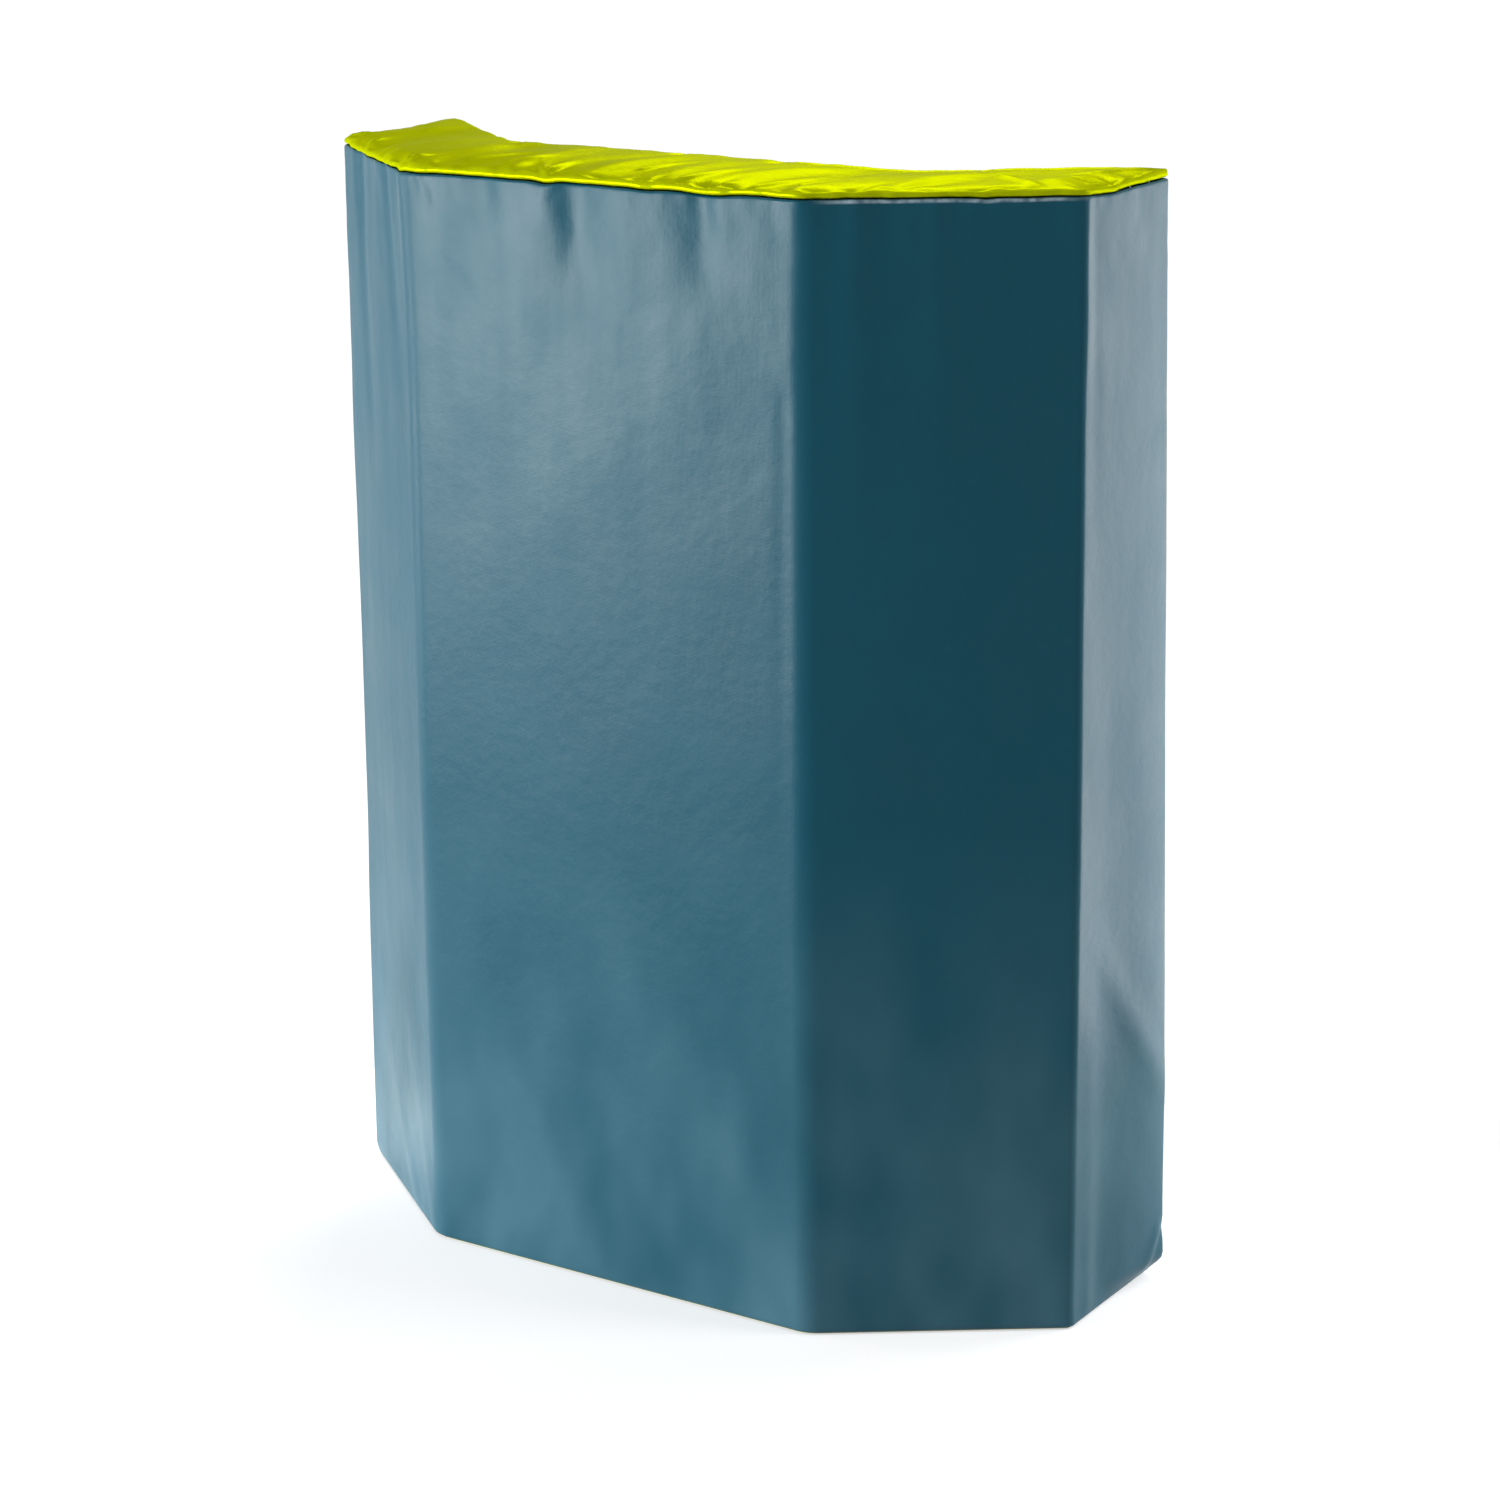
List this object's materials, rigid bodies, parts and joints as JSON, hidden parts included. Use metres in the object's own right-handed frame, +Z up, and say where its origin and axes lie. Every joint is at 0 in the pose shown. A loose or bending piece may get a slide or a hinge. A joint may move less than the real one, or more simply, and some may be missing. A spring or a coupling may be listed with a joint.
{
  "type": "strike shield",
  "caption": "Curved foam strike shield in a zipped vinyl cover with a crowned top, hand grips and padded arm bands on its hollow back.",
  "frame": {"origin": "On the ground under the middle of the object's box", "axes": "+Z up; -Y is where the strike face looks, +Y is the holder's side; +X is to the right seen from in front of the strike face"},
  "size_m": [0.5904, 0.247, 0.7528],
  "materials": {
    "teal_vinyl": "satin PVC-coated polyester with a fine woven grain",
    "lime_vinyl": "satin PVC-coated polyester with a fine woven grain",
    "impact_foam": "matt open-cell foam",
    "backing_foam": "matt closed-cell foam",
    "zip_tape": "matt woven tape",
    "zip_teeth": "satin moulded acetal",
    "nickel": "nickel plate",
    "black_webbing": "matt ribbed polypropylene webbing",
    "grip_rubber": "matt moulded rubber with fine rings",
    "pad_fabric": "matt black padded fabric"
  },
  "bodies": {
    "shield": {"impact_foam_centre": "impact_foam", "impact_foam_left": "impact_foam", "impact_foam_right": "impact_foam", "backing_foam_centre": "backing_foam", "backing_foam_left": "backing_foam", "backing_foam_right": "backing_foam", "front_wrap": "teal_vinyl", "back_panel": "teal_vinyl", "zip_facing": "teal_vinyl", "top_panel": "lime_vinyl", "base_panel": "lime_vinyl", "zip_tape_inner": "zip_tape", "zip_tape_outer": "zip_tape", "zip_chain": "zip_teeth", "zip_top_stop": "nickel", "zip_bottom_stop": "nickel", "left_grip_upper_patch": "teal_vinyl", "left_grip_lower_patch": "teal_vinyl", "right_grip_upper_patch": "teal_vinyl", "right_grip_lower_patch": "teal_vinyl", "left_band_upper_patch": "teal_vinyl", "left_band_lower_patch": "teal_vinyl", "right_band_upper_patch": "teal_vinyl", "right_band_lower_patch": "teal_vinyl", "vent_eyelet_1": "nickel", "vent_eyelet_2": "nickel", "vent_eyelet_3": "nickel", "vent_eyelet_4": "nickel"},
    "left_grip": {"left_grip_webbing": "black_webbing", "left_grip_sleeve": "grip_rubber"},
    "right_grip": {"right_grip_webbing": "black_webbing", "right_grip_sleeve": "grip_rubber"},
    "left_arm_band": {"left_band_webbing": "black_webbing", "left_arm_pad": "pad_fabric"},
    "right_arm_band": {"right_band_webbing": "black_webbing", "right_arm_pad": "pad_fabric"},
    "zip_slider": {"zip_slider": "nickel"},
    "zip_pull": {"zip_pull": "nickel"}
  },
  "joints": [
    {"name": "left_grip_swing", "type": "hinge", "parent": "shield", "child": "left_grip", "pos_m": [-0.075, 0.00548, 0.4], "axis": [0, 0, 1], "range_deg": [-45, 45], "deforming": ["left_grip_webbing"]},
    {"name": "right_grip_swing", "type": "hinge", "parent": "shield", "child": "right_grip", "pos_m": [0.075, 0.00548, 0.4], "axis": [0, 0, 1], "range_deg": [-45, 45], "deforming": ["right_grip_webbing"]},
    {"name": "left_band_swing", "type": "hinge", "parent": "shield", "child": "left_arm_band", "pos_m": [-0.21043, 0.04364, 0.4], "axis": [0, 0, 1], "range_deg": [-35, 35], "deforming": ["left_band_webbing"]},
    {"name": "right_band_swing", "type": "hinge", "parent": "shield", "child": "right_arm_band", "pos_m": [0.21043, 0.04364, 0.4], "axis": [0, 0, 1], "range_deg": [-35, 35], "deforming": ["right_band_webbing"]},
    {"name": "zip_slider_travel", "type": "slide", "parent": "shield", "child": "zip_slider", "axis": [0, 0, -1], "range_m": [0, 0.67]},
    {"name": "zip_pull_swing", "type": "hinge", "parent": "zip_slider", "child": "zip_pull", "pos_m": [0.25582, 0.08523, 0.705], "axis": [0.8028, 0.5962, 0], "range_deg": [0, 170]}
  ]
}
